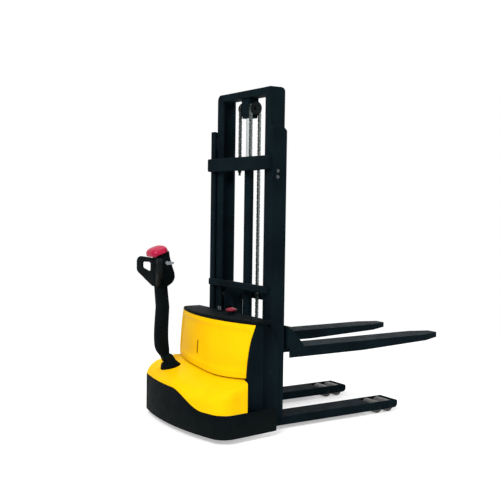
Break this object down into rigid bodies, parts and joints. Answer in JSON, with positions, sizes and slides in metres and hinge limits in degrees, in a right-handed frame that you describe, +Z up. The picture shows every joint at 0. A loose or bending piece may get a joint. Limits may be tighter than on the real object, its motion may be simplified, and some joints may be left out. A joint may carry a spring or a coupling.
{
  "type": "walkie stacker",
  "caption": "Electric walkie stacker with a two-stage chain-lifted mast, forks over support legs, a swivelling drive and a curved tiller.",
  "frame": {"origin": "on the floor under the middle of the object's box", "axes": "+X forward to the fork tips, +Y to the operator's left, +Z up"},
  "size_m": [1.8808, 0.9398, 1.982],
  "materials": {
    "yellow_cover": "gloss moulded cover",
    "black_paint": "semi-gloss black paint",
    "black_plastic": "fine moulded grain",
    "bright_steel": "oiled bright steel",
    "dark_steel": "dark oiled steel",
    "chrome_rod": "hard chrome",
    "cast_housing": "painted casting",
    "battery_case": "moulded case",
    "wear_pad": "sawn black nylon",
    "wheel_tread": "turned tread",
    "roller_tread": "cast polyurethane",
    "red_button": "gloss red moulding",
    "button_grey": "gloss grey moulding",
    "button_yellow": "gloss yellow moulding"
  },
  "bodies": {
    "chassis": {"base_frame": "black_paint", "bumper_skirt": "black_plastic", "lower_cover": "yellow_cover", "upper_cover": "yellow_cover", "dash_panel": "black_plastic", "side_frame_left": "black_paint", "side_frame_right": "black_paint", "leg_left": "black_paint", "leg_right": "black_paint", "load_roller_axles": "bright_steel", "batteries": "battery_case", "hydraulic_unit": "cast_housing", "outer_channel_left": "black_paint", "outer_channel_right": "black_paint", "mast_upper_crossbar": "black_paint", "mast_middle_crossbar": "black_paint", "mast_foot": "black_paint", "wear_pads": "wear_pad", "cylinder_tube": "black_paint", "chain_anchor_plate": "black_paint", "anchor_chain_runs": "bright_steel", "slewing_bearing": "bright_steel", "dash_switches": "black_plastic"},
    "inner_mast": {"inner_channel_left": "black_paint", "inner_channel_right": "black_paint", "inner_top_crossbar": "black_paint", "inner_lower_crossbar": "black_paint", "piston_rod": "chrome_rod", "pulley_block": "black_paint", "pulley_pin": "bright_steel", "chain_wraps": "bright_steel", "carriage_chain_runs": "bright_steel"},
    "pulleys": {"chain_pulleys": "dark_steel"},
    "mast_rollers": {"mast_guide_rollers": "dark_steel"},
    "carriage": {"carriage_frame": "black_paint", "fork_left": "black_paint", "fork_right": "black_paint"},
    "upper_rollers": {"carriage_rollers_upper": "dark_steel"},
    "lower_rollers": {"carriage_rollers_lower": "dark_steel"},
    "steering": {"steering_head": "black_paint", "drive_bracket": "black_paint", "drive_motor": "cast_housing", "tiller_pin": "bright_steel"},
    "drive_wheel": {"drive_wheel": "wheel_tread"},
    "tiller": {"tiller_arm": "black_plastic", "tiller_head": "black_plastic", "handle_loops": "black_plastic"},
    "throttle": {"throttle": "button_grey"},
    "belly_button": {"belly_button": "red_button"},
    "lift_button": {"lift_button": "button_grey"},
    "lower_button": {"lower_button": "button_grey"},
    "horn_button": {"horn_button": "button_yellow"},
    "estop": {"estop_button": "red_button"},
    "key": {"key": "bright_steel"},
    "castor": {"castor_fork": "bright_steel"},
    "castor_wheel": {"castor_wheel": "wheel_tread"},
    "left_front_roller": {"load_roller_left_front": "roller_tread"},
    "left_rear_roller": {"load_roller_left_rear": "roller_tread"},
    "right_front_roller": {"load_roller_right_front": "roller_tread"},
    "right_rear_roller": {"load_roller_right_rear": "roller_tread"}
  },
  "joints": [
    {"name": "mast_lift", "type": "slide", "parent": "chassis", "child": "inner_mast", "axis": [0, 0, 1], "range_m": [-0.195, 1], "deforming": ["anchor_chain_runs"]},
    {"name": "carriage_lift", "type": "slide", "parent": "inner_mast", "child": "carriage", "axis": [0, 0, 1], "range_m": [-0.195, 1], "deforming": ["carriage_chain_runs"]},
    {"name": "pulley_turn", "type": "hinge", "parent": "inner_mast", "child": "pulleys", "pos_m": [-0.37864, 0, 1.88], "axis": [0, 1, 0], "range_deg": [-1854, 366]},
    {"name": "mast_roller_turn", "type": "hinge", "parent": "inner_mast", "child": "mast_rollers", "pos_m": [-0.39514, 0, 0.33], "axis": [0, 1, 0], "range_deg": [-1681, 332]},
    {"name": "upper_roller_turn", "type": "hinge", "parent": "carriage", "child": "upper_rollers", "pos_m": [-0.37864, 0, 0.735], "axis": [0, 1, 0], "range_deg": [-1657, 327]},
    {"name": "lower_roller_turn", "type": "hinge", "parent": "carriage", "child": "lower_rollers", "pos_m": [-0.37864, 0, 0.54], "axis": [0, 1, 0], "range_deg": [-1657, 327]},
    {"name": "steer", "type": "hinge", "parent": "chassis", "child": "steering", "pos_m": [-0.77164, 0.245, 0.24], "axis": [0, 0, 1], "range_deg": [-85, 85]},
    {"name": "drive_wheel_spin", "type": "hinge", "parent": "steering", "child": "drive_wheel", "pos_m": [-0.77164, 0.245, 0.1], "axis": [0, 1, 0], "continuous": true},
    {"name": "tiller_tilt", "type": "hinge", "parent": "steering", "child": "tiller", "pos_m": [-0.79864, 0.245, 0.376], "axis": [0, -1, 0], "range_deg": [0, 62], "stiffness_Nm_per_rad": 45, "springref_deg": -40.11},
    {"name": "throttle_turn", "type": "hinge", "parent": "tiller", "child": "throttle", "pos_m": [-0.83064, 0.245, 0.95], "axis": [0, 1, 0], "range_deg": [-30, 30], "stiffness_Nm_per_rad": 0.6},
    {"name": "belly_press", "type": "slide", "parent": "tiller", "child": "belly_button", "axis": [0.342, 0, -0.9397], "range_m": [0, 0.006], "stiffness_N_per_m": 1500, "springref_m": -0.004},
    {"name": "lift_press", "type": "slide", "parent": "tiller", "child": "lift_button", "axis": [-1, 0, 0], "range_m": [0, 0.003], "stiffness_N_per_m": 800, "springref_m": -0.002},
    {"name": "lower_press", "type": "slide", "parent": "tiller", "child": "lower_button", "axis": [-1, 0, 0], "range_m": [0, 0.003], "stiffness_N_per_m": 800, "springref_m": -0.002},
    {"name": "horn_press", "type": "slide", "parent": "tiller", "child": "horn_button", "axis": [-1, 0, 0], "range_m": [0, 0.003], "stiffness_N_per_m": 800, "springref_m": -0.002},
    {"name": "estop_press", "type": "slide", "parent": "chassis", "child": "estop", "axis": [0, 0, -1], "range_m": [0, 0.005], "stiffness_N_per_m": 1500, "springref_m": -0.002},
    {"name": "key_turn", "type": "hinge", "parent": "chassis", "child": "key", "pos_m": [-0.52364, 0.085, 0.67], "axis": [0, 0, 1], "range_deg": [-90, 0]},
    {"name": "castor_swivel", "type": "hinge", "parent": "chassis", "child": "castor", "pos_m": [-0.74364, -0.265, 0.24], "axis": [0, 0, 1], "continuous": true},
    {"name": "castor_spin", "type": "hinge", "parent": "castor", "child": "castor_wheel", "pos_m": [-0.78364, -0.265, 0.075], "axis": [0, 1, 0], "continuous": true},
    {"name": "left_front_roller_spin", "type": "hinge", "parent": "chassis", "child": "left_front_roller", "pos_m": [0.49936, 0.259, 0.037], "axis": [0, 1, 0], "continuous": true},
    {"name": "left_rear_roller_spin", "type": "hinge", "parent": "chassis", "child": "left_rear_roller", "pos_m": [0.40936, 0.259, 0.037], "axis": [0, 1, 0], "continuous": true},
    {"name": "right_front_roller_spin", "type": "hinge", "parent": "chassis", "child": "right_front_roller", "pos_m": [0.49936, -0.259, 0.037], "axis": [0, 1, 0], "continuous": true},
    {"name": "right_rear_roller_spin", "type": "hinge", "parent": "chassis", "child": "right_rear_roller", "pos_m": [0.40936, -0.259, 0.037], "axis": [0, 1, 0], "continuous": true}
  ],
  "couplings": [
    {"joint": "carriage_lift", "follows": "mast_lift", "ratio": 1},
    {"joint": "pulley_turn", "follows": "mast_lift", "rad_per_m": -32.258},
    {"joint": "mast_roller_turn", "follows": "mast_lift", "rad_per_m": -29.24},
    {"joint": "upper_roller_turn", "follows": "mast_lift", "rad_per_m": -28.818},
    {"joint": "lower_roller_turn", "follows": "mast_lift", "rad_per_m": -28.818}
  ]
}
